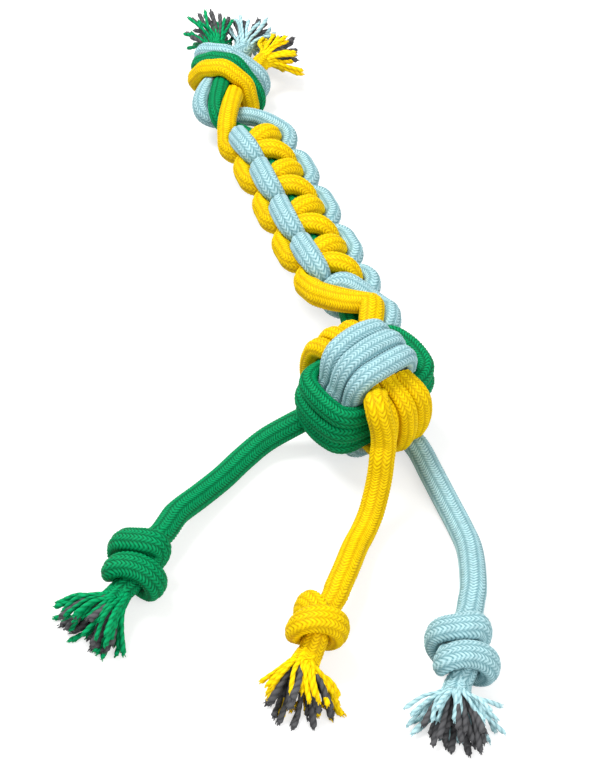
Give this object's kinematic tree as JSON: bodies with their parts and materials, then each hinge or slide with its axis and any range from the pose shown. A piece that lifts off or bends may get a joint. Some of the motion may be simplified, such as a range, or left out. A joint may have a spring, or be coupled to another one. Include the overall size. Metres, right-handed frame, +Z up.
{
  "type": "rope dog toy",
  "caption": "Tug and chew toy of braided rope: a frayed knot at one end, a flat knotted sennit, a woven rope ball, and loose rope legs ending in knots and frayed tassels.",
  "frame": {"origin": "middle of the flat under the ball, on the surface that the toy lies on", "axes": "+Z up, +Y from the ball towards the large knot at the far end, +X to the right of that"},
  "size_m": [0.1963, 0.5011, 0.0634],
  "materials": {
    "green_rope": "braided cotton, soft and matt",
    "yellow_rope": "braided cotton, soft and matt",
    "blue_rope": "braided cotton, soft and matt",
    "grey_core_yarn": "loose twisted yarn, matt"
  },
  "bodies": {
    "ball": {"blue_ball_turns": "blue_rope", "green_ball_turns": "green_rope", "yellow_ball_turns": "yellow_rope", "ball_core": "grey_core_yarn", "yellow_ball_lead": "yellow_rope"},
    "tail": {"blue_sennit_cord": "blue_rope", "yellow_sennit_cord": "yellow_rope", "green_sennit_core": "green_rope", "blue_top_knot": "blue_rope", "yellow_top_knot": "yellow_rope", "green_top_knot": "green_rope", "blue_top_tassel": "blue_rope", "yellow_top_tassel": "yellow_rope", "green_top_tassel": "green_rope", "blue_top_core_yarns": "grey_core_yarn", "yellow_top_core_yarns": "grey_core_yarn", "green_top_core_yarns": "grey_core_yarn"},
    "green_leg_rope": {"green_leg": "green_rope"},
    "yellow_leg_rope": {"yellow_leg": "yellow_rope"},
    "blue_leg_rope": {"blue_leg": "blue_rope"},
    "green_foot": {"green_end_knot": "green_rope", "green_end_tassel": "green_rope", "green_end_core_yarns": "grey_core_yarn"},
    "yellow_foot": {"yellow_end_knot": "yellow_rope", "yellow_end_tassel": "yellow_rope", "yellow_end_core_yarns": "grey_core_yarn"},
    "blue_foot": {"blue_end_knot": "blue_rope", "blue_end_tassel": "blue_rope", "blue_end_core_yarns": "grey_core_yarn"}
  },
  "joints": [
    {"name": "tail_swing", "type": "hinge", "parent": "ball", "child": "tail", "pos_m": [-0.0029, 0.0318, 0.033], "axis": [0, 0, 1], "range_deg": [-8, 8]},
    {"name": "green_leg_swing", "type": "hinge", "parent": "ball", "child": "green_leg_rope", "pos_m": [-0.0315, -0.0058, 0.0142], "axis": [0, 0, 1], "range_deg": [-40, 5]},
    {"name": "yellow_leg_swing", "type": "hinge", "parent": "ball", "child": "yellow_leg_rope", "pos_m": [0.0057, -0.0461, 0.0229], "axis": [0, 0, 1], "range_deg": [-12, 4]},
    {"name": "blue_leg_swing", "type": "hinge", "parent": "ball", "child": "blue_leg_rope", "pos_m": [0.025, -0.0169, 0.0083], "axis": [0, 0, 1], "range_deg": [-4, 40]},
    {"name": "green_foot_lift", "type": "hinge", "parent": "green_leg_rope", "child": "green_foot", "pos_m": [-0.08822, -0.06464, 0.01147], "axis": [-0.893, 0.45, 0], "range_deg": [0, 45]},
    {"name": "yellow_foot_lift", "type": "hinge", "parent": "yellow_leg_rope", "child": "yellow_foot", "pos_m": [-0.01199, -0.09761, 0.01396], "axis": [-0.9397, 0.3419, 0], "range_deg": [0, 45]},
    {"name": "blue_foot_lift", "type": "hinge", "parent": "blue_leg_rope", "child": "blue_foot", "pos_m": [0.04337, -0.10815, 0.01147], "axis": [-0.9806, 0.1961, 0], "range_deg": [0, 45]}
  ]
}
